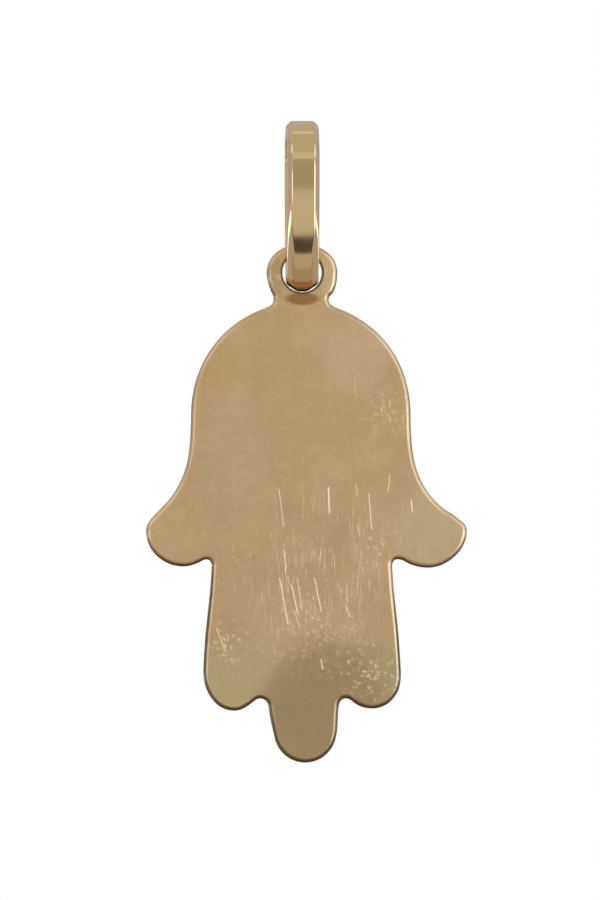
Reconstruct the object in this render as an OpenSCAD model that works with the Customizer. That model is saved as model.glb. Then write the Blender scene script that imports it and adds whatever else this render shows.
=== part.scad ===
// Hamsa pendant in yellow gold: a flat hand-shaped plate with an eye at its wrist,
// hung on a closed teardrop bail.
// Millimetres. X runs to the right, Y to the back and Z up. The plate's face looks along -Y.
// The origin is where a chain bears: the middle of the bail's inner crown.

/* [Plate] */
// Thickness of the plate
plate_thickness = 0.65; // [0.5:0.05:0.9]

/* [Eye] */
// Wall of the eye above its hole
eye_top_wall = 0.49; // [0.35:0.01:0.8]
// Wall of the eye on each side of its hole
eye_side_wall = 0.82; // [0.5:0.01:1.1]
// Width of the neck between the eye and the palm
neck_width = 2.91; // [2.2:0.01:3.4]
// Depth of the neck below the centre of the eye's hole
neck_drop = 1.43; // [1.35:0.01:1.8]

/* [Hand] */
// Width of the palm
palm_width = 11.64; // [10.6:0.01:13]
// Depth of the palm's widest place below the eye's centre
palm_drop = 7.49; // [6.6:0.01:8.4]
// Reach of the left thumb from the eye's centre
thumb_reach_left = 8.26; // [7.4:0.01:9.6]
// Reach of the right thumb from the eye's centre
thumb_reach_right = 8.75; // [7.7:0.01:9.9]
// Depth of the thumb tips below the eye's centre
thumb_drop = 13.68; // [13.2:0.01:14.6]
// Height of the round underside of each thumb
thumb_under = 1.93; // [1.6:0.01:2.3]
// Width across the three fingers at their root
fingers_root_width = 9.56; // [8.8:0.01:10.4]
// Width across the three fingers above the outer fingertips
fingers_width = 10.4; // [9.7:0.01:11.2]
// Depth of the corner between a thumb and the fingers below the eye's centre
crotch_drop = 15.2; // [15:0.01:15.5]
// Depth of the outer fingertips below the eye's centre
finger_drop = 23.16; // [21.5:0.01:24.8]
// Spacing of the two outer fingertips
fingertip_spacing = 7.32; // [6.9:0.01:7.8]
// Rise of the notches between the fingers above the outer fingertips
notch_rise = 0.59; // [0.45:0.01:0.9]
// Spacing of the two notches beside the middle finger
notch_spacing = 4.54; // [4.3:0.01:4.8]
// Width of the middle finger at its root
middle_width = 3.73; // [3.4:0.01:3.9]
// Length of the middle finger below the outer fingertips
middle_length = 2.81; // [2.2:0.01:4]
// Distance of the middle fingertip to the right of the eye's centre
tip_lean = 0.17; // [0:0.01:0.3]
// Distance of the palm to the left of the eye's centre
palm_lean = 0.06; // [0:0.01:0.2]

/* [Bail] */
// Length of the bail from its crown to the bottom of its foot
bail_length = 9.05; // [7.5:0.05:14]
// Width of the bail's strip
bail_width = 1.7; // [1.3:0.05:2.1]
// Depth of the bail from front to back across its crown
bail_depth = 4.3; // [3.9:0.05:6]
// Wall of the bail at its crown and its legs
bail_wall = 0.8; // [0.6:0.05:1.1]
// Radius of the bail's inner bend at its foot, where the eye hangs
bend_radius = 0.8; // [0.7:0.01:1]
// Width of the flat between the bevels of the crown and the legs
flat_width = 1.1; // [0.6:0.01:1.25]
// Width of the flat between the bevels of the foot
foot_flat_width = 0.82; // [0.5:0.01:1.2]
// Height above the bottom of the foot at which the flat begins to narrow
narrow_start = 2.95; // [2.5:0.05:3.5]
// Height above the bottom of the foot at which the flat is as narrow as the foot's
narrow_end = 2; // [1.6:0.05:2.4]
// Depth of the bevels beside the flat
bevel_depth = 0.28; // [0.15:0.01:0.4]
// Width of the flat at the very bottom of the foot, which is rounded to lie in the eye
under_flat_width = 0.3; // [0.2:0.01:0.6]
// Height above the bottom of the foot at which its underside begins to round
under_start = 0.6; // [0.4:0.05:0.9]

/* [Fit] */
// Play on each side of the strip in the eye's hole
eye_play = 0.2; // [0.15:0.01:0.4]
// Gap between the eye and the bail's inner bend
seat_gap = 0.05; // [0.03:0.01:0.1]
// Gap between the bottom of the bail's foot and the lower edge of the eye's hole
foot_gap = 0.04; // [0.03:0.01:0.5]

/* [Hidden] */

// Largest turn between two points of the hand's outline, of the bail's and of its opening's, in degrees
plate_turn = 4;
bail_turn = 4;
opening_turn = 1;
// Facets of the true round cuts
$fn = 120;
// Reach of a cut past the faces that it goes through
cut_past = 1;

// The eye: a round hole with room for the strip
hole_radius = bail_width / 2 + eye_play;
// Depth of the hole's arc below the hinge axis, where the strip's edges meet it
seat_depth = sqrt(pow(bend_radius - seat_gap, 2) - pow(plate_thickness / 2, 2));
// Depth of the hole's centre below the hinge axis
eye_drop = seat_depth + sqrt(pow(hole_radius, 2) - pow(bail_width / 2, 2));
// Thickness of the bail's foot, which fills the hole but for its gap
foot_wall = eye_drop + hole_radius - foot_gap - bend_radius;
// Depth of the bevels at the very bottom of the foot, where they follow the hole's arc inside the gap
under_radius = hole_radius - foot_gap;
under_bevel_depth = under_radius - sqrt(pow(under_radius, 2) - pow(bail_width / 2, 2));

// The bail, from the chain's seat at Z = 0 down
crown_radius = bail_depth / 2;
inner_crown_radius = crown_radius - bail_wall;
axis_z = -(bail_length - bail_wall - foot_wall - bend_radius);
eye_z = axis_z - eye_drop;
foot_z = axis_z - bend_radius - foot_wall;

// Across the bail's bevel, as shares: [of the way from the flat to the strip's side, of the bevel's depth]
bevel = [[0, 0], [0.12, 0.03], [0.3, 0.14], [0.8, 0.64], [0.93, 0.82], [1, 1]];

// An outline's row is [across, below, heading]. A heading of 0 runs straight down, 90 outward
// and -90 inward.
function toward(heading) = [sin(heading), cos(heading)];
function place(row) = [row[0], row[1]];
function half_turn(angle) = angle - 360 * round(angle / 360);

// Turn between the start of an arc that leaves p at a heading and its chord to q
function chord_turn(p, heading, q) = half_turn(atan2(q[0] - p[0], q[1] - p[1]) - heading);

// Rows along the arc from p to q, p left out, with no turn larger than step. An arc that hardly turns
// is taken as straight.
function arc(p, heading, q, step) =
    let (turn = chord_turn(p, heading, q),
         reach = norm(q - p),
         count = max(1, ceil(abs(2 * turn) / step)))
    [for (i = [1:count])
        let (f = i / count,
             far = abs(turn) < 0.01 ? f : sin(turn * f) / sin(turn),
             at = p + reach * far * toward(heading + turn * f))
        [at[0], at[1], heading + 2 * turn * f]];

// Where the two arcs meet that leave a and arrive at b at their headings. The first form of reach is
// for headings that are alike.
function meeting(a, b) =
    let (v = place(b) - place(a),
         t = toward(a[2]),
         u = toward(b[2]),
         lead = v * (t + u),
         spread = 2 * (1 - t * u),
         reach = spread < 0.000001
             ? (v * v) / (4 * (v * u))
             : (sqrt(lead * lead + spread * (v * v)) - lead) / spread)
    (place(a) + place(b) + reach * (t - u)) / 2;

// Rows along the two arcs between rows a and b, a left out
function arc_pair(a, b, step) =
    let (m = meeting(a, b),
         middle_heading = a[2] + 2 * chord_turn(place(a), a[2], m))
    concat(arc(place(a), a[2], m, step), arc(m, middle_heading, place(b), step));

// The smooth run through all rows of an outline
function run(rows, step) =
    [rows[0], for (i = [1:len(rows) - 1]) each arc_pair(rows[i - 1], rows[i], step)];

// A row moved into the metal by a depth
function inset(row, depth) = place(row) + depth * [-cos(row[2]), sin(row[2])];

// A closed solid through rings of as many points each, with flat ends
module skin(rings) {
    n = len(rings[0]);
    last = (len(rings) - 1) * n;
    polyhedron(
        points = [for (ring = rings) each ring],
        faces = concat(
            [[for (i = [0:n - 1]) i]],
            [for (k = [0:len(rings) - 2], i = [0:n - 1])
                let (a = k * n + i, b = k * n + (i + 1) % n)
                each [[a, a + n, b + n], [a, b + n, b]]],
            [[for (i = [n - 1:-1:0]) last + i]]),
        convexity = 6);
}

function between(a, b, share) = a + (b - a) * share;

// One side of the hand's outline, from the eye's top to the middle fingertip. side is 1 on the right
// and -1 on the left. Rows stand at shares of the named sizes, or of the way between two of them.
function hand_side(side) =
    let (right = side > 0,
         reach = right ? thumb_reach_right : thumb_reach_left,
         palm = palm_width / 2 - side * palm_lean,
         neck = neck_width / 2 - 0.75 * side * palm_lean,
         eye = hole_radius + eye_side_wall,
         root = fingers_root_width / 2,
         spread = fingers_width / 2,
         fingertip = fingertip_spacing / 2 + 0.39 * side * tip_lean,
         notch = notch_spacing / 2 + 0.25 * side * tip_lean,
         notch_drop = finger_drop - notch_rise,
         middle = middle_width / 2 + 0.5 * side * tip_lean,
         middle_low = 0.43 * middle_width + side * tip_lean)
    [
        // The eye, down to its neck
        [0, -hole_radius - eye_top_wall, 90],
        [eye, 0, 0],
        [between(eye, neck, right ? 0.42 : 0.53), (right ? 0.7 : 0.64) * neck_drop, right ? -25 : -22],
        [neck, neck_drop, 0],
        // The round palm, from the neck's fillet down to the hollow above the thumb
        [neck + 0.16 * neck_width, neck_drop + 0.155 * neck_width, 70],
        [0.795 * palm, between(neck_drop, palm_drop, 0.398), 37],
        [palm, palm_drop, 0],
        [1.009 * palm, between(palm_drop, thumb_drop, 0.233), 4],
        [between(palm, reach, right ? 0.18 : 0.22), between(palm_drop, thumb_drop, 0.565), 25],
        [between(palm, reach, right ? 0.55 : 0.64), between(palm_drop, thumb_drop, 0.796), right ? 50 : 46],
        // The thumb, round its tip and its underside to the corner beside the fingers
        [between(palm, reach, right ? 0.8 : 0.88), between(palm_drop, thumb_drop, right ? 0.877 : 0.893),
            right ? 52 : 42],
        [reach, thumb_drop, 0],
        [0.934 * reach, thumb_drop + 0.68 * thumb_under, -46],
        [0.763 * reach, thumb_drop + (right ? 1.02 : 0.98) * thumb_under, -90],
        [root + (right ? 0.071 : 0.063) * fingers_root_width, crotch_drop + 0.06 * thumb_under,
            right ? -121 : -117],
        [root + 0.03 * fingers_root_width, crotch_drop, -90],
        // The outer finger, down to its tip and up to the notch
        [root, crotch_drop + 0.2 * thumb_under, 3],
        [spread, between(crotch_drop, finger_drop, 0.645), 3],
        [(right ? 1.001 : 0.997) * spread, between(crotch_drop, finger_drop, right ? 0.83 : 0.81), -10],
        [fingertip, finger_drop - 0.3 * side * tip_lean, -90],
        [between(fingertip, notch, 0.7), finger_drop - 0.64 * notch_rise, -130],
        [notch, notch_drop, -90],
        // The middle finger
        [middle, notch_drop + 0.66 * notch_rise, -7],
        [middle_low, finger_drop + 0.56 * middle_length, -15],
        [side * tip_lean, finger_drop + middle_length, -90]
    ];

// The whole outline of the hand round the centre of the eye's hole
module hand_outline() {
    right = run(hand_side(1), plate_turn);
    left = run(hand_side(-1), plate_turn);
    polygon([
        for (row = right) [row[0], -row[1]],
        for (i = [len(left) - 2:-1:1]) [-left[i][0], -left[i][1]]
    ]);
}

// The hand and its eye, stamped from one plate, with the hole bored through the eye
module plate() {
    color("#B8996B")
        translate([0, 0, eye_z])
            rotate([90, 0, 0])
                difference() {
                    linear_extrude(plate_thickness, center = true) hand_outline();
                    cylinder(r = hole_radius, h = plate_thickness + 2 * cut_past, center = true);
                }
}

// One half of the bail's outer outline seen from the side, from the crown down to the foot
hip = bend_radius + bail_wall;
leg_lean = 2 * atan((crown_radius - hip) / (-axis_z - inner_crown_radius));
bail_side = run([
    [0, -bail_wall, 90],
    [crown_radius, inner_crown_radius, 0],
    [hip, -axis_z, -leg_lean],
    [0, -foot_z, -90]
], bail_turn);

// One half of the opening between its crown and its bend
inner_lean = 2 * atan((inner_crown_radius - bend_radius) / (-axis_z - inner_crown_radius));
opening_side = run([
    [inner_crown_radius, inner_crown_radius, 0],
    [bend_radius * cos(inner_lean), -axis_z - bend_radius * sin(inner_lean), -inner_lean]
], opening_turn);

// Half the width of the flat, and the depth of the bevels, at a height above the bottom of the foot
function half_flat(height) = lookup(height, [
    [0, under_flat_width / 2],
    [under_start, foot_flat_width / 2],
    [narrow_end, foot_flat_width / 2],
    [narrow_start, flat_width / 2]
]);
function bevel_at(height) = lookup(height, [[0, under_bevel_depth], [under_start, bevel_depth]]);

// The bail's outer outline as a ring at one step of its bevel, on the left or the right
function bail_ring(step, side) =
    [for (i = [0:len(bail_side) - 1]) bail_point(bail_side[i], step, side, -1),
     for (i = [len(bail_side) - 2:-1:1]) bail_point(bail_side[i], step, side, 1)];
function bail_point(row, step, side, back) =
    let (height = -row[1] - foot_z,
         at = inset(row, step[1] * bevel_at(height)),
         flat = half_flat(height))
    [side * between(flat, bail_width / 2, step[0]), back * at[0], -at[1]];

// The opening that the chain and the eye pass through, with a true round crown and bend
module opening() {
    rotate([90, 0, 90])
        linear_extrude(bail_width + 2 * cut_past, center = true)
            union() {
                translate([0, -inner_crown_radius]) circle(inner_crown_radius);
                translate([0, axis_z]) circle(bend_radius);
                polygon(concat(
                    [for (row = opening_side) [row[0], -row[1]]],
                    [for (i = [len(opening_side) - 1:-1:0]) [-opening_side[i][0], -opening_side[i][1]]]));
            }
}

// The closed teardrop loop, bevelled beside its flat and heavier at its foot
module bail() {
    steps = len(bevel) - 1;
    rings = concat(
        [for (i = [steps:-1:0]) bail_ring(bevel[i], -1)],
        [for (step = bevel) bail_ring(step, 1)]);
    color("#C69A52")
        difference() {
            skin(rings);
            opening();
        }
}

bail();
plate();
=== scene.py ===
"""Looks of a gold hamsa pendant: a worn, stamped hand that hangs on a polished teardrop bail.

Metres, +Z up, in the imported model's frame. The hand's face looks along -Y.
"""

import logging
import math
from dataclasses import dataclass, field
from enum import Enum
from functools import partial

import bmesh
import bpy
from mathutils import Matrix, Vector


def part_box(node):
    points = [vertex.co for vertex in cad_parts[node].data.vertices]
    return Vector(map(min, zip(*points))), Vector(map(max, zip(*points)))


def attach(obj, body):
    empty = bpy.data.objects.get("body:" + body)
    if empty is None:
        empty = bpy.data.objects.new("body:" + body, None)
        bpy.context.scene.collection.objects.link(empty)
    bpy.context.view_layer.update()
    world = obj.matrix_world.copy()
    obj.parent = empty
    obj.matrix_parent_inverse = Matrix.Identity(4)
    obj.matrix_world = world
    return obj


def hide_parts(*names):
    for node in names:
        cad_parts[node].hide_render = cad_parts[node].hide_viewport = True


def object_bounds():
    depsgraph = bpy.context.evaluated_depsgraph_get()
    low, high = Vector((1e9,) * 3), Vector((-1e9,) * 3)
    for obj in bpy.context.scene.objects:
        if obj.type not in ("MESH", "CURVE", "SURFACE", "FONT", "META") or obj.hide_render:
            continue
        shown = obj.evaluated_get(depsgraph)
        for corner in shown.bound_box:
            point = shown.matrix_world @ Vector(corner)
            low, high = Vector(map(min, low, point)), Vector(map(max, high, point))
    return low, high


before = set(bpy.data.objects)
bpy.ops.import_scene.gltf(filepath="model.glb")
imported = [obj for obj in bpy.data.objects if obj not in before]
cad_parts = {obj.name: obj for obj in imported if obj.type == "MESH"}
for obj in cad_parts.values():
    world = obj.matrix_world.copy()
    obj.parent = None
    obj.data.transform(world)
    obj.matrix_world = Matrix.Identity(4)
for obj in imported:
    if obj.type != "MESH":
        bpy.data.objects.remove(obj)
CAD_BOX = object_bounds()

LOG = logging.getLogger("pendant")
MM = 0.001

# The photo's frame in pixels, the real width of one of its pixels, and where it shows the centre of the
# eye's hole, in pixels from its top left.
IMAGE_WIDTH = 600
IMAGE_HEIGHT = 900
PIXEL = 0.053 * MM
EYE_ACROSS = 302.0
EYE_DOWN = 272.6

# Corners of the CAD mesh that are closer than this are one corner, faces that turn less than this many
# degrees are one flat, and a turn of more degrees than the last number keeps a sharp edge.
MERGE_REACH = 0.002 * MM
FLAT_TURN = 0.4
SHARP_TURN = 40.0

# Two values between which something fades in: none of it at the first, and all of it at the second.
Span = tuple[float, float]


class Corners(Enum):
    """The sharp corners of a piece that are rounded together."""

    ALL = "all of them"
    HOLE = "round the eye's hole"
    OUTLINE = "all but the hole's"


def linear(hex_colour: str) -> tuple[float, float, float, float]:
    """Turns an sRGB hex colour into a linear one.

    Args:
        hex_colour: Six hex digits after a hash.

    Returns:
        Red, green, blue and a full alpha.
    """
    shares = [int(hex_colour[i : i + 2], 16) / 255 for i in (1, 3, 5)]
    red, green, blue = (s / 12.92 if s <= 0.04045 else ((s + 0.055) / 1.055) ** 2.4 for s in shares)
    return red, green, blue, 1.0


def add_node(
    tree: bpy.types.NodeTree, kind: str, inputs: dict | None = None, **settings: object
) -> bpy.types.NodeSocket:
    """Adds a node with its settings and its links.

    Args:
        tree: The node tree that gets the node.
        kind: The node's type, without its prefix.
        inputs: A value or an output socket for each input, by name or number.
        settings: The node's own properties.

    Returns:
        The first output that the node has in use.
    """
    node = tree.nodes.new("ShaderNode" + kind)
    for name, value in settings.items():
        setattr(node, name, value)
    for key, value in (inputs or {}).items():
        if isinstance(value, bpy.types.NodeSocket):
            tree.links.new(value, node.inputs[key])
        else:
            node.inputs[key].default_value = value
    return next(output for output in node.outputs if output.enabled)


def new_material(name: str) -> tuple[bpy.types.Material, bpy.types.Node]:
    """Makes a material with a Principled BSDF.

    Args:
        name: The material's name.

    Returns:
        The material and its shader.
    """
    material = bpy.data.materials.new(name)
    material.use_nodes = True
    return material, material.node_tree.nodes["Principled BSDF"]


def select_only(piece: bpy.types.Object) -> None:
    """Makes one object the only selected one, and the active one.

    Args:
        piece: The object to select.
    """
    bpy.ops.object.select_all(action="DESELECT")
    piece.select_set(True)
    bpy.context.view_layer.objects.active = piece


def merged_copy(node: str, name: str) -> bpy.types.Object:
    """Copies a CAD node as a new piece whose loose triangles are merged into whole faces.

    Args:
        node: The CAD node's name.
        name: The new piece's name.

    Returns:
        The new piece, selected and active, in object mode.
    """
    piece = bpy.data.objects.new(name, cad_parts[node].data.copy())
    piece.data.name = name
    piece.data.materials.clear()
    bpy.context.scene.collection.objects.link(piece)
    select_only(piece)
    bpy.ops.mesh.customdata_custom_splitnormals_clear()
    bpy.ops.object.mode_set(mode="EDIT")
    bpy.ops.mesh.select_all(action="SELECT")
    bpy.ops.mesh.remove_doubles(threshold=MERGE_REACH)
    bpy.ops.mesh.dissolve_limited(angle_limit=math.radians(FLAT_TURN))
    bpy.ops.object.mode_set(mode="OBJECT")
    return piece


@dataclass(frozen=True)
class Rounding:
    """How the sharp corners of a piece are rounded.

    A corner is an edge between two faces that turn further than least_turn, in degrees. The hole's
    corners are those within hole_reach of the eye.
    """

    radius: float
    faces: int
    corners: Corners = Corners.ALL
    eye: Vector = field(default_factory=Vector)
    hole_reach: float = 1.2 * MM
    least_turn: float = 60.0

    def takes(self, edge: bmesh.types.BMEdge) -> bool:
        """Tells whether an edge is one of the corners.

        Args:
            edge: An edge of the piece.

        Returns:
            True if the edge is to be rounded.
        """
        if len(edge.link_faces) != 2 or edge.calc_face_angle() < math.radians(self.least_turn):
            return False
        off = (edge.verts[0].co + edge.verts[1].co) / 2 - self.eye
        in_hole = math.hypot(off.x, off.z) < self.hole_reach
        return self.corners is Corners.ALL or in_hole == (self.corners is Corners.HOLE)

    def apply(self, piece: bpy.types.Object) -> None:
        """Rounds the corners of a piece.

        Args:
            piece: The active piece, in object mode.
        """
        bpy.ops.object.mode_set(mode="EDIT")
        bpy.ops.mesh.select_mode(type="EDGE")
        bpy.ops.mesh.select_all(action="DESELECT")
        mesh = bmesh.from_edit_mesh(piece.data)
        for edge in mesh.edges:
            edge.select = self.takes(edge)
        bmesh.update_edit_mesh(piece.data)
        bpy.ops.mesh.bevel(
            offset=self.radius, segments=self.faces, profile=0.5, clamp_overlap=False, loop_slide=False
        )
        bpy.ops.object.mode_set(mode="OBJECT")


def smooth_with_true_flats(piece: bpy.types.Object) -> None:
    """Shades a piece smooth, with the flats kept flat to their edges.

    Args:
        piece: The piece to shade.
    """
    select_only(piece)
    bpy.ops.object.shade_smooth_by_angle(angle=math.radians(SHARP_TURN))
    modifier = piece.modifiers.new("flats", "WEIGHTED_NORMAL")
    modifier.mode = "FACE_AREA"
    modifier.weight = 100
    modifier.keep_sharp = True
    bpy.ops.object.modifier_apply(modifier=modifier.name)


@dataclass(frozen=True)
class Scratch:
    """One scratch in the hand's face, in millimetres from the centre of the eye."""

    from_across: float
    from_below: float
    to_across: float
    to_below: float
    half_width: float
    strength: float


@dataclass(frozen=True)
class Pitting:
    """A round area of small dents in the hand's face, in millimetres from the centre of the eye."""

    across: float
    below: float
    reach: float
    strength: float


@dataclass(frozen=True)
class TintPatch:
    """A soft oval in which the gold has another tint, in millimetres from the centre of the eye."""

    across: float
    below: float
    half_width: float
    half_height: float
    colour: str
    strength: float


# The scratches that show in the photo's light, most of them near the middle of the hand.
SCRATCHES = (
    Scratch(2.81, 5.49, 2.87, 6.62, 0.08, 0.2),
    Scratch(4.66, 6.80, 4.68, 7.10, 0.06, 0.35),
    Scratch(4.68, 7.60, 4.70, 7.90, 0.06, 0.3),
    Scratch(4.66, 10.70, 4.56, 11.66, 0.03, 0.25),
    Scratch(2.85, 11.20, 2.94, 11.80, 0.03, 0.25),
    Scratch(1.40, 11.39, 1.45, 12.71, 0.043, 0.95),
    Scratch(-1.23, 11.46, -0.97, 13.43, 0.025, 0.35),
    Scratch(3.54, 11.70, 3.69, 13.60, 0.03, 0.35),
    Scratch(5.79, 12.04, 5.84, 12.67, 0.035, 0.5),
    Scratch(2.94, 13.40, 3.07, 13.96, 0.03, 0.3),
    Scratch(3.87, 14.17, 4.98, 14.28, 0.035, 0.3),
    Scratch(-0.93, 14.70, -0.87, 15.90, 0.025, 0.4),
    Scratch(-0.87, 15.90, -0.48, 16.90, 0.025, 0.4),
    Scratch(-1.19, 16.16, -0.74, 18.60, 0.04, 0.85),
    Scratch(-0.54, 16.57, -0.22, 18.07, 0.042, 0.9),
    Scratch(-0.26, 16.20, -0.02, 17.85, 0.025, 0.5),
    Scratch(0.66, 16.17, 1.02, 17.93, 0.04, 0.85),
    Scratch(2.31, 17.59, 2.52, 18.21, 0.04, 0.8),
    Scratch(-0.43, 17.90, -0.11, 18.80, 0.03, 0.4),
    Scratch(1.01, 20.48, 1.09, 21.00, 0.05, 0.6),
    Scratch(-4.54, 18.80, -4.05, 20.10, 0.035, 0.5),
)

# Soft tinted ovals, in this order: a painted reflection and shade of the bail's foot on the face below it, a
# painted highlight on the eye's right side and painted shade on its left, greenish finger ends and two for a
# tip that is darker and duller towards the bottom, and pale or ruddy spots on the palm that wear and skin
# have left.
TINTS_AND_PAINTED_LIGHT = (
    # Painted reflection and shade of the bail's foot, on the face just below it.
    TintPatch(0.00, 1.40, 0.90, 0.34, "#A87642", 0.8),
    # Painted highlight on the eye's right side, then painted shade on its left side.
    TintPatch(1.65, 0.10, 0.75, 1.50, "#FFE8B8", 0.5),
    TintPatch(-1.65, 0.30, 0.70, 1.30, "#D9BD90", 0.9),
    # Darker and duller towards the bottom of the fingers and the tip.
    TintPatch(-3.70, 22.00, 2.40, 2.60, "#E3D1A3", 0.8),
    TintPatch(3.70, 22.00, 2.10, 2.60, "#D3C095", 0.9),
    TintPatch(1.10, 25.40, 4.10, 5.60, "#CCB289", 1.0),
    TintPatch(1.00, 22.60, 2.80, 3.20, "#C3A97F", 0.6),
    TintPatch(7.00, 13.60, 2.60, 2.20, "#F0D9AF", 0.6),
    TintPatch(-3.70, 9.60, 1.90, 3.00, "#EDD2AA", 0.7),
    TintPatch(-4.30, 4.90, 1.20, 1.40, "#EBC690", 0.5),
    TintPatch(0.70, 7.60, 2.60, 1.60, "#E9C795", 0.5),
    TintPatch(2.90, 4.30, 1.90, 2.10, "#F6D6B2", 0.6),
)

# A pattern is drawn in the plane of the sheet, and a tint's oval reaches through it, in millimetres.
IN_THE_SHEET = (1, 0, 1)
THROUGH_THE_SHEET = 1000.0

# The areas where small dents lie close together.
PITTED = (
    Pitting(3.70, 14.60, 1.40, 1.0),
    Pitting(3.55, 21.20, 2.10, 1.4),
    Pitting(-4.10, 19.60, 1.80, 1.1),
    Pitting(-3.30, 15.00, 1.20, 0.5),
    Pitting(0.50, 19.00, 4.20, 0.6),
    Pitting(4.40, 7.40, 1.90, 0.8),
)


@dataclass(frozen=True)
class WornPlateGold:
    """14 karat yellow gold sheet, rolled, stamped and polished, then scuffed by wear.

    The polish is left between a haze of fine scuffs, so the face gives soft, tan reflections. Single
    deeper scratches and dents catch the side lights and take a lighter colour, partly newly cut metal and
    partly a painted glint. Grime and painted shade darken the sheared rims, most of all below, and a ring
    round the hole is darker.
    """

    name: str = "worn_14k_gold_sheet"

    # The gold in soft clouds of two shades, and lighter on scratches and dents, partly as newly cut metal and
    # partly as a painted glint.
    colour: str = "#F2D2A2"
    cloud_colour: str = "#E6C595"
    cloud_mm: float = 3.0
    cloud_span: Span = (0.35, 0.65)
    fresh_and_glint_colour: str = "#FFE9BE"
    tint_patch_span: Span = (1.2, 0.7)

    # The haze of scuffs. Real ones are finer than a pixel, so they are drawn as coarse as they need to show.
    scuff_mm: float = 0.45
    scuff_span: Span = (0.35, 0.7)
    scuff_depth_mm: float = 0.0003
    roughness: float = 0.25
    scuffed_roughness: float = 0.29

    # Hairlines that lean a few degrees, round the middle of the hand, drawn coarser than real ones too.
    hair_mm: float = 0.09
    hair_length_mm: float = 1.4
    hair_lean: float = 7.0
    hair_span: Span = (0.58, 0.78)
    hair_strength: float = 0.32
    hair_middle: tuple[float, float, float] = (0.9, 0.0, -15.6)
    hair_reach: Span = (7.0, 1.0)

    # The single scratches, and the small dents. A noise with dent_rags waves to a dent makes them ragged.
    scratch_depth_mm: float = 0.02
    scratch_roughness: float = 0.4
    dent_mm: float = 0.3
    dent_depth_mm: float = 0.02
    dent_span: Span = (0.48, 0.1)
    dent_chance: Span = (0.34, 0.56)
    dent_raggedness: float = 1.2
    dent_rags: float = 2.0
    dent_glint: float = 0.7

    # All these marks lie on the face, whose depth is given from the middle of the sheet.
    face_mm: Span = (-0.2, -0.3)

    # Grime and painted shade on the rims, and a darker ring round the hole. Faces that look forward or back
    # stay clean, the side walls are darker, partly as grime and partly as painted shade, and painted shade
    # darkens rims that look down and the rims of the fingers below a line that leans a little.
    dirt_and_shade_colour: str = "#7E6E50"
    dirt_and_shade_cover: float = 0.92
    dirt_and_shade_mm: float = 0.7
    dirt_and_shade_patches: float = 0.5
    dirt_and_shade_span: Span = (1.05, 0.45)
    underside_shade: float = 0.8
    finger_rim_shade: float = 4.0
    finger_shade_height: Span = (-15.6, -19.0)
    finger_shade_up: tuple[float, float, float] = (0.2, 0.0, 1.0)
    hole_ring_mm: Span = (1.19, 1.13)

    def material(self, eye: Vector) -> bpy.types.Material:
        """Builds the finish.

        Args:
            eye: Centre of the eye's hole, from which the marks are placed.

        Returns:
            The material.
        """
        material, shader = new_material(self.name)
        tree = material.node_tree
        add = partial(add_node, tree)
        coordinates = add("TexCoord").node.outputs
        place = add(
            "Mapping",
            {"Vector": coordinates["Object"], "Location": -eye / MM, "Scale": (1 / MM,) * 3},
            vector_type="POINT",
        )
        depth = add("SeparateXYZ", {"Vector": place}).node.outputs["Y"]
        behind, before = self.face_mm
        front = add("MapRange", {"Value": depth, "From Min": behind, "From Max": before})
        lines = add("Math", {0: self.scratched(tree, place), 1: self.hairy(tree, place)}, operation="MAXIMUM")
        scratches = add("Math", {0: lines, 1: front}, operation="MULTIPLY")
        dents = add("Math", {0: self.dented(tree, place), 1: front}, operation="MULTIPLY")
        scuffs = add("TexNoise", {"Vector": place, "Scale": 1 / self.scuff_mm, "Detail": 4.0})
        few, many = self.scuff_span
        worn = add(
            "MapRange",
            {
                "Value": scuffs,
                "From Min": few,
                "From Max": many,
                "To Min": self.roughness,
                "To Max": self.scuffed_roughness,
            },
        )
        rough = add("Mix", {"Factor": scratches, "A": worn, "B": self.scratch_roughness}, data_type="FLOAT")
        dug = add("Math", {0: dents, 1: -self.dent_depth_mm}, operation="MULTIPLY")
        marks = add("Math", {0: scratches, 1: -self.scratch_depth_mm, 2: dug}, operation="MULTIPLY_ADD")
        height = add("Math", {0: scuffs, 1: self.scuff_depth_mm, 2: marks}, operation="MULTIPLY_ADD")
        # Painted glint: scratches and dents get a lighter colour, partly as newly cut metal.
        glinting_dents = add("Math", {0: dents, 1: self.dent_glint}, operation="MULTIPLY")
        fresh_and_glint = add("Math", {0: scratches, 1: glinting_dents}, operation="MAXIMUM")
        sheet = self.tinted(tree, place, front)
        # Grime and painted shade darken the rims, most of all the undersides and the lower finger rims, and a
        # ring round the hole.
        dirt_and_shade = self.dirt_and_painted_shade(tree, place, coordinates["Normal"])
        sheet = add("Mix", {"Factor": dirt_and_shade, "A": sheet, "B": linear(self.dirt_and_shade_colour)}, data_type="RGBA")
        colour = add("Mix", {"Factor": fresh_and_glint, "A": sheet, "B": linear(self.fresh_and_glint_colour)}, data_type="RGBA")
        tree.links.new(colour, shader.inputs["Base Color"])
        tree.links.new(rough, shader.inputs["Roughness"])
        tree.links.new(add("Bump", {"Height": height, "Distance": MM}), shader.inputs["Normal"])
        shader.inputs["Metallic"].default_value = 1.0
        return material

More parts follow.
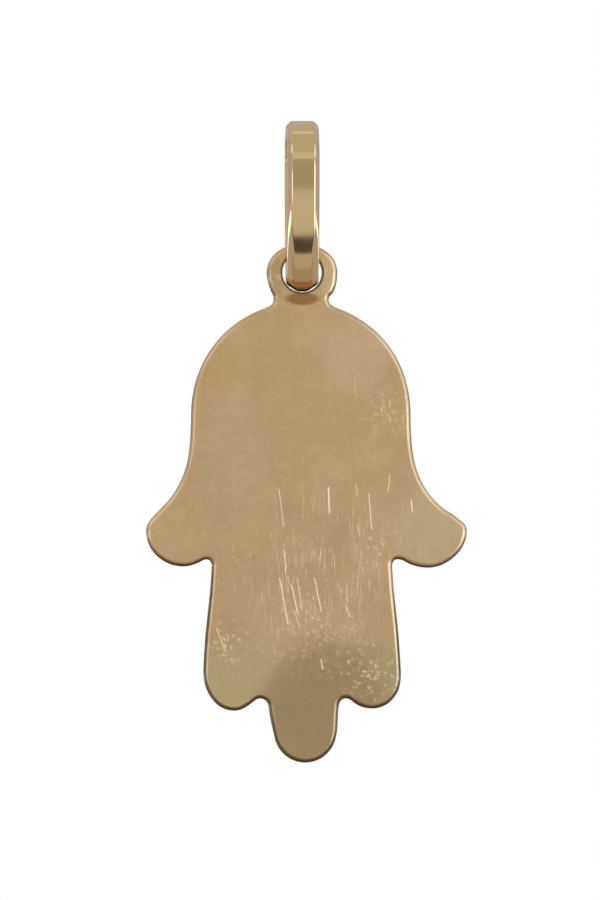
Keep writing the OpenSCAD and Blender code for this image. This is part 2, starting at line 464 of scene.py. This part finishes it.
    def tinted(
        self, tree: bpy.types.NodeTree, place: bpy.types.NodeSocket, front: bpy.types.NodeSocket
    ) -> bpy.types.NodeSocket:
        """Mixes the gold's colour with its clouds and tinted ovals, among them a painted reflection,
        highlight and shade.

        Args:
            tree: The material's node tree.
            place: Millimetres from the centre of the eye.
            front: 1 on the hand's face and 0 on its back.

        Returns:
            The colour of the clean sheet.
        """
        add = partial(add_node, tree)
        clouds = add(
            "TexNoise", {"Vector": place, "Scale": 1 / self.cloud_mm, "Detail": 6.0, "Roughness": 0.6}
        )
        clear, cloudy = self.cloud_span
        share = add("MapRange", {"Value": clouds, "From Min": clear, "From Max": cloudy})
        sheet = add(
            "Mix",
            {"Factor": share, "A": linear(self.colour), "B": linear(self.cloud_colour)},
            data_type="RGBA",
        )
        outside, inside = self.tint_patch_span
        # Some ovals are painted light: the bail foot's reflection and shade, and the eye's highlight and
        # shade.
        for tint_patch in TINTS_AND_PAINTED_LIGHT:
            middle = (tint_patch.across, 0, -tint_patch.below)
            halves = (tint_patch.half_width, THROUGH_THE_SHEET, tint_patch.half_height)
            oval = {"Vector": place, "Location": middle, "Scale": halves}
            off = add("Mapping", oval, vector_type="TEXTURE")
            far = add("VectorMath", {0: off}, operation="LENGTH")
            near = add(
                "MapRange",
                {"Value": far, "From Min": outside, "From Max": inside, "To Max": tint_patch.strength},
                interpolation_type="SMOOTHSTEP",
            )
            share = add("Math", {0: near, 1: front}, operation="MULTIPLY")
            sheet = add("Mix", {"Factor": share, "A": sheet, "B": linear(tint_patch.colour)}, data_type="RGBA")
        return sheet

    def dirt_and_painted_shade(
        self, tree: bpy.types.NodeTree, place: bpy.types.NodeSocket, normal: bpy.types.NodeSocket
    ) -> bpy.types.NodeSocket:
        """Darkens the rims with grime and painted shade, and a ring round the hole, in patches that thin out
        here and there.

        Args:
            tree: The material's node tree.
            place: Millimetres from the centre of the eye.
            normal: The surface's normal in the piece's own frame.

        Returns:
            How far each point is darkened, from 0 to 1.
        """
        add = partial(add_node, tree)
        facing = add("SeparateXYZ", {"Vector": normal}).node.outputs
        face_on = add("Math", {0: facing["Y"]}, operation="ABSOLUTE")
        # Painted shade: rims that look down are darker, and the side walls are darker, partly as grime on the
        # sheared edge.
        kept = add("Math", {0: facing["Z"], 1: self.underside_shade, 2: face_on}, operation="MULTIPLY_ADD")
        # Painted shade on the rims of the fingers below a line that leans a little.
        height = add("VectorMath", {0: place, 1: self.finger_shade_up}, operation="DOT_PRODUCT")
        above, below = self.finger_shade_height
        dull = add(
            "MapRange", {"Value": height, "From Min": above, "From Max": below, "To Max": self.finger_rim_shade}
        )
        turned = add("Math", {0: 1.0, 1: face_on}, operation="SUBTRACT")
        dulled = add("Math", {0: dull, 1: turned}, operation="MULTIPLY")
        kept = add("Math", {0: kept, 1: dulled}, operation="SUBTRACT")
        patchy = add("TexNoise", {"Vector": place, "Scale": 1 / self.dirt_and_shade_mm, "Detail": 3.0})
        kept = add("Math", {0: patchy, 1: self.dirt_and_shade_patches, 2: kept}, operation="MULTIPLY_ADD")
        clean, covered = self.dirt_and_shade_span
        rim = add(
            "MapRange", {"Value": kept, "From Min": clean, "From Max": covered, "To Max": self.dirt_and_shade_cover}
        )
        # A darker ring round the hole.
        from_eye = add("VectorMath", {0: place, 1: IN_THE_SHEET}, operation="MULTIPLY")
        eye_gap = add("VectorMath", {0: from_eye}, operation="LENGTH")
        outside, inside = self.hole_ring_mm
        hole = add("MapRange", {"Value": eye_gap, "From Min": outside, "From Max": inside})
        return add("Math", {0: rim, 1: hole}, operation="MAXIMUM")

    def hairy(self, tree: bpy.types.NodeTree, place: bpy.types.NodeSocket) -> bpy.types.NodeSocket:
        """Draws the hairlines, which thin out away from the middle of the hand.

        Args:
            tree: The material's node tree.
            place: Millimetres from the centre of the eye.

        Returns:
            How far each point is scratched, from 0 to 1.
        """
        add = partial(add_node, tree)
        scale = (1 / self.hair_mm, 1, 1 / self.hair_length_mm)
        lean = (0, math.radians(self.hair_lean), 0)
        streaks = add("Mapping", {"Vector": place, "Rotation": lean, "Scale": scale}, vector_type="POINT")
        hairs = add("TexNoise", {"Vector": streaks, "Scale": 1.0, "Detail": 2.0})
        none, full = self.hair_span
        hair = add(
            "MapRange", {"Value": hairs, "From Min": none, "From Max": full, "To Max": self.hair_strength}
        )
        off = add("VectorMath", {0: place, 1: self.hair_middle}, operation="DISTANCE")
        far, near = self.hair_reach
        rubbed = add("MapRange", {"Value": off, "From Min": far, "From Max": near})
        return add("Math", {0: hair, 1: rubbed}, operation="MULTIPLY")

    def scratched(self, tree: bpy.types.NodeTree, place: bpy.types.NodeSocket) -> bpy.types.NodeSocket:
        """Draws the single scratches.

        Args:
            tree: The material's node tree.
            place: Millimetres from the centre of the eye.

        Returns:
            How far each point is scratched, from 0 to 1.
        """
        add = partial(add_node, tree)
        flat = add("VectorMath", {0: place, 1: IN_THE_SHEET}, operation="MULTIPLY")
        found = None
        for scratch in SCRATCHES:
            start = Vector((scratch.from_across, 0, -scratch.from_below))
            way = Vector((scratch.to_across, 0, -scratch.to_below)) - start
            off = add("VectorMath", {0: flat, 1: start}, operation="SUBTRACT")
            along = add("VectorMath", {0: off, 1: way / way.length_squared}, operation="DOT_PRODUCT")
            share = add("Clamp", {"Value": along})
            near = add("VectorMath", {0: way, "Scale": share}, operation="SCALE")
            gap = add("VectorMath", {0: off, 1: near}, operation="DISTANCE")
            mark = add(
                "MapRange",
                {"Value": gap, "From Min": scratch.half_width, "From Max": 0.0, "To Max": scratch.strength},
            )
            found = mark if found is None else add("Math", {0: found, 1: mark}, operation="MAXIMUM")
        return found

    def dented(self, tree: bpy.types.NodeTree, place: bpy.types.NodeSocket) -> bpy.types.NodeSocket:
        """Scatters small ragged dents over the pitted areas.

        Args:
            tree: The material's node tree.
            place: Millimetres from the centre of the eye.

        Returns:
            How deep each point is dented, as a share of a dent's depth.
        """
        add = partial(add_node, tree)
        found = None
        for area in PITTED:
            middle = (area.across, 0, -area.below)
            gap = add("VectorMath", {0: place, 1: middle}, operation="DISTANCE")
            near = add(
                "MapRange", {"Value": gap, "From Min": area.reach, "From Max": 0.0, "To Max": area.strength}
            )
            found = near if found is None else add("Math", {0: found, 1: near}, operation="MAXIMUM")
        rags = add("TexNoise", {"Vector": place, "Scale": self.dent_rags / self.dent_mm})
        pull = (self.dent_raggedness * self.dent_mm,) * 3
        ragged = add(
            "VectorMath", {0: rags.node.outputs["Color"], 1: pull, 2: place}, operation="MULTIPLY_ADD"
        )
        spots = add("TexVoronoi", {"Vector": ragged, "Scale": 1 / self.dent_mm})
        never, always = self.dent_chance
        lot = spots.node.outputs["Color"]
        chance = add("MapRange", {"Value": lot, "From Min": never, "From Max": always})
        rim, bottom = self.dent_span
        dip = add("MapRange", {"Value": spots, "From Min": rim, "From Max": bottom})
        single = add("Math", {0: dip, 1: chance}, operation="MULTIPLY")
        return add("Math", {0: single, 1: found}, operation="MULTIPLY")


@dataclass(frozen=True)
class PolishedBailGold:
    """14 karat yellow gold strip, bent, soldered and mirror polished.

    It mirrors the room in sharp bands, and the faint waves that polishing by hand leaves bend them a little.
    """

    name: str = "polished_14k_gold_strip"
    colour: str = "#F2D6A4"
    roughness: float = 0.06
    scuffed_roughness: float = 0.13
    wave_mm: float = 0.9
    wave_depth_mm: float = 0.0012

    def material(self) -> bpy.types.Material:
        """Builds the finish.

        Returns:
            The material.
        """
        material, shader = new_material(self.name)
        tree = material.node_tree
        add = partial(add_node, tree)
        coordinates = add("TexCoord").node.outputs
        place = add("Mapping", {"Vector": coordinates["Object"], "Scale": (1 / MM,) * 3}, vector_type="POINT")
        wave = add("TexNoise", {"Vector": place, "Scale": 1 / self.wave_mm, "Detail": 2.0, "Roughness": 0.4})
        rough = add("MapRange", {"Value": wave, "To Min": self.roughness, "To Max": self.scuffed_roughness})
        bump = add("Bump", {"Height": wave, "Distance": self.wave_depth_mm * MM})
        tree.links.new(rough, shader.inputs["Roughness"])
        tree.links.new(bump, shader.inputs["Normal"])
        shader.inputs["Base Color"].default_value = linear(self.colour)
        shader.inputs["Metallic"].default_value = 1.0
        return material


@dataclass
class Hand:
    """The stamped hand with its eye."""

    node: str = "plate"
    body: str = "hand"
    slot: str = "plate_gold"
    rim_radius: float = 0.26 * MM
    rim_faces: int = 8
    hole_radius: float = 0.05 * MM
    hole_faces: int = 2
    eye_below_top: float = 1.54 * MM
    finish: WornPlateGold = field(default_factory=WornPlateGold)

    def eye(self) -> Vector:
        """Returns the centre of the eye's hole."""
        low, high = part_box(self.node)
        return Vector((0, (low.y + high.y) / 2, high.z - self.eye_below_top))

    def build(self) -> bpy.types.Object:
        """Builds the hand with its rims rounded.

        Returns:
            The finished piece.
        """
        piece = merged_copy(self.node, "stamped_hand")
        Rounding(self.hole_radius, self.hole_faces, Corners.HOLE, self.eye()).apply(piece)
        Rounding(self.rim_radius, self.rim_faces, Corners.OUTLINE, self.eye()).apply(piece)
        smooth_with_true_flats(piece)
        piece.data.materials.append(self.finish.material(self.eye()))
        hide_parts(self.node)
        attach(piece, self.body)
        return piece


@dataclass
class Bail:
    """The closed teardrop bail."""

    node: str = "bail"
    body: str = "bail"
    slot: str = "bail_gold"
    edge_radius: float = 0.07 * MM
    edge_faces: int = 3
    finish: PolishedBailGold = field(default_factory=PolishedBailGold)

    def build(self) -> bpy.types.Object:
        """Builds the bail with its opening's edges rounded.

        Returns:
            The finished piece.
        """
        piece = merged_copy(self.node, "teardrop_bail")
        Rounding(self.edge_radius, self.edge_faces).apply(piece)
        smooth_with_true_flats(piece)
        piece.data.materials.append(self.finish.material())
        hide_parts(self.node)
        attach(piece, self.body)
        return piece


@dataclass(frozen=True)
class Card:
    """A card of the studio, placed by the directions that it covers as seen from the pendant.

    The directions are azimuths and elevations in degrees.
    """

    name: str
    left: float
    right: float
    low: float
    high: float
    colour: str
    strength: float = 1.0
    distance: float = 0.60


# What the metal reflects, as colours of light. Azimuth 0 is the camera's side and 90 the right.
# The bail shows these cards as bands, one above the other, and its bevels and the hand's rims show
# the ones at the sides.
CARDS = (
    Card("far_ceiling", -50, 50, 92, 165, "#BFBCC0"),
    Card("ceiling", -50, 50, 24, 84, "#C0BBB2"),
    Card("ceiling_edge", -50, 50, 2, 24, "#CDCABB"),
    Card("operator_brow", -24, 24, 0.9, 3.1, "#B9B4A9", distance=0.56),
    Card("operator", -24, 24, -6.6, 0.9, "#A7A29A", distance=0.55),
    Card("table", -40, 40, -21.4, -6.6, "#C6C3C0"),
    Card("table_edge", -40, 40, -28.4, -21.4, "#4B4640", distance=0.58),
    Card("lap", -50, 50, -37, -28.4, "#B8B0A8"),
    Card("knees", -50, 50, -75, -37, "#A7998C"),
    Card("left_side_high", -118, -66, -8, 35, "#B6B1BE"),
    Card("left_side_low", -118, -66, -52, -8, "#B2ADB2"),
    Card("right_side_high", 66, 118, -8, 35, "#B6B1BE"),
    Card("right_side_low", 66, 118, -52, -8, "#AEA9AE"),
    Card("left_lamp", -58, -17, -9, 0, "#E4ECFF", 1.5, 0.5),
    Card("right_lamp", 17, 66, -17.5, 2.5, "#E4ECFF", 2.0, 0.5),
    Card("left_low", -128, -72, -13, -9.2, "#EEF2FF", 2.4, 0.5),
    Card("right_low", 76, 118, -11.5, -9, "#EEF2FF", 2.4, 0.5),
    Card("left_high", -78, -28, 18, 38, "#DDE6FA", 1.1, 0.5),
    Card("right_high", 28, 78, 8, 37, "#DDE6FA", 1.3, 0.5),
)

# The tent round the whole set, as its colour of light at shares of the way from its bottom to its top.
TENT = (
    (0.0, "#94704A"),
    (0.05, "#8E6C4A"),
    (0.14, "#A1968A"),
    (0.3, "#B0A89C"),
    (0.5, "#BAB3A8"),
    (0.7, "#C4BEB4"),
    (0.95, "#C8C3BC"),
    (1.0, "#E2DEDA"),
)


@dataclass
class Studio:
    """The floor, the soft light, the cards and the tent that the metal reflects, and the camera."""

    target: Vector
    floor_drop: float = 400 * MM
    floor_reach: float = 3.0
    floor_colour: str = "#F7F6F4"
    floor_roughness: float = 0.9
    floor_glow: float = 0.15
    world_colour: str = "#FFFFFF"
    world_strength: float = 1.0
    tent_radius: float = 1.2
    camera_distance: float = 300 * MM
    camera_azimuth: float = -2.4
    sensor: float = 36.0

    def build(self, aim: Vector) -> None:
        """Builds the whole studio.

        Args:
            aim: The point at the middle of the photo's frame.
        """
        self.light()
        self.floor()
        self.tent()
        for card in CARDS:
            self.card(card)
        self.camera(aim)

    def light(self) -> None:
        """Sets an even white surround, which lights the floor and stands behind the pendant.

        The view is plain, so that the colours of light below reach the picture as they are.
        """
        world = bpy.data.worlds.new("white_surround")
        bpy.context.scene.world = world
        world.use_nodes = True
        background = world.node_tree.nodes["Background"]
        background.inputs["Color"].default_value = linear(self.world_colour)
        background.inputs["Strength"].default_value = self.world_strength
        bpy.context.scene.view_settings.view_transform = "Standard"

    def floor(self) -> None:
        """Lays a plain pale floor under the pendant."""
        low, _ = CAD_BOX
        bpy.ops.object.select_all(action="DESELECT")
        bpy.ops.mesh.primitive_circle_add(
            vertices=96, radius=self.floor_reach, fill_type="NGON", location=(0, 0, low.z - self.floor_drop)
        )
        floor = bpy.context.active_object
        floor.name = "floor"
        material, shader = new_material("pale_floor")
        shader.inputs["Base Color"].default_value = linear(self.floor_colour)
        shader.inputs["Roughness"].default_value = self.floor_roughness
        shader.inputs["Emission Color"].default_value = linear(self.floor_colour)
        shader.inputs["Emission Strength"].default_value = self.floor_glow
        floor.data.materials.append(material)
        floor.visible_glossy = False

    def in_metal_alone(self, thing: bpy.types.Object) -> None:
        """Lets only the metal's reflections see a thing of the studio."""
        thing.visible_camera = thing.visible_diffuse = thing.visible_shadow = False

    def tent(self) -> None:
        """Puts the tent round the set, a soft surround from a pale top to a dark warm bottom."""
        bpy.ops.object.select_all(action="DESELECT")
        bpy.ops.mesh.primitive_uv_sphere_add(
            segments=64, ring_count=32, radius=self.tent_radius, location=self.target
        )
        tent = bpy.context.active_object
        tent.name = "tent"
        material, shader = new_material("tent_cloth")
        tree = material.node_tree
        place = add_node(tree, "TexCoord").node.outputs["Object"]
        height = add_node(tree, "SeparateXYZ", {"Vector": place}).node.outputs["Z"]
        bottom, top = -self.tent_radius, self.tent_radius
        share = add_node(tree, "MapRange", {"Value": height, "From Min": bottom, "From Max": top})
        glow = add_node(tree, "ValToRGB", {"Fac": share})
        ramp = glow.node.color_ramp
        ramp.elements.remove(ramp.elements[1])
        for position, colour in TENT:
            element = ramp.elements.new(position) if position else ramp.elements[0]
            element.color = linear(colour)
        self.glowing(shader, 1.0)
        tree.links.new(glow, shader.inputs["Emission Color"])
        tent.data.materials.append(material)
        self.in_metal_alone(tent)

    def glowing(self, shader: bpy.types.Node, strength: float) -> None:
        """Makes a shader give light and reflect none.

        Args:
            shader: The material's shader.
            strength: The strength of its light.
        """
        shader.inputs["Base Color"].default_value = (0, 0, 0, 1)
        shader.inputs["Specular IOR Level"].default_value = 0.0
        shader.inputs["Emission Strength"].default_value = strength

    def card(self, card: Card) -> None:
        """Hangs one card, facing the pendant.

        Args:
            card: The card to hang.
        """
        azimuth = math.radians((card.left + card.right) / 2)
        elevation = math.radians((card.low + card.high) / 2)
        width = 2 * card.distance * math.tan(math.radians(card.right - card.left) / 2)
        height = 2 * card.distance * math.tan(math.radians(card.high - card.low) / 2)
        level = Vector((math.sin(azimuth), -math.cos(azimuth), 0))
        out = math.cos(elevation) * level + Vector((0, 0, math.sin(elevation)))
        bpy.ops.object.select_all(action="DESELECT")
        bpy.ops.mesh.primitive_plane_add(
            size=1,
            location=self.target + card.distance * out,
            rotation=(math.pi / 2 - elevation, 0, azimuth),
        )
        plane = bpy.context.active_object
        plane.name = card.name
        plane.scale = (width, height, 1)
        material, shader = new_material(card.name)
        self.glowing(shader, card.strength)
        shader.inputs["Emission Color"].default_value = linear(card.colour)
        plane.data.materials.append(material)
        self.in_metal_alone(plane)

    def camera(self, aim: Vector) -> None:
        """Sets the camera level with the middle of the photo's frame.

        Args:
            aim: The point at the middle of the photo's frame.
        """
        turn = math.radians(self.camera_azimuth)
        data = bpy.data.cameras.new("camera")
        camera = bpy.data.objects.new("camera", data)
        bpy.context.scene.collection.objects.link(camera)
        camera.location = aim + self.camera_distance * Vector((math.sin(turn), -math.cos(turn), 0))
        camera.rotation_euler = (math.pi / 2, 0, turn)
        data.sensor_width = self.sensor
        data.lens = self.sensor * self.camera_distance / (IMAGE_HEIGHT * PIXEL)
        bpy.context.scene.camera = camera


def main() -> None:
    """Builds the pendant and its studio, and reports each piece."""
    hand = Hand()
    for part in (hand, Bail()):
        piece = part.build()
        LOG.info("%s: %d faces on body %s", piece.name, len(piece.data.polygons), part.body)
    eye = hand.eye()
    aim = eye + PIXEL * Vector((IMAGE_WIDTH / 2 - EYE_ACROSS, 0, EYE_DOWN - IMAGE_HEIGHT / 2))
    Studio(target=Vector((0, 0, eye.z / 2))).build(aim)


if __name__ == "__main__":
    logging.basicConfig(level=logging.INFO, format="%(message)s")
    main()
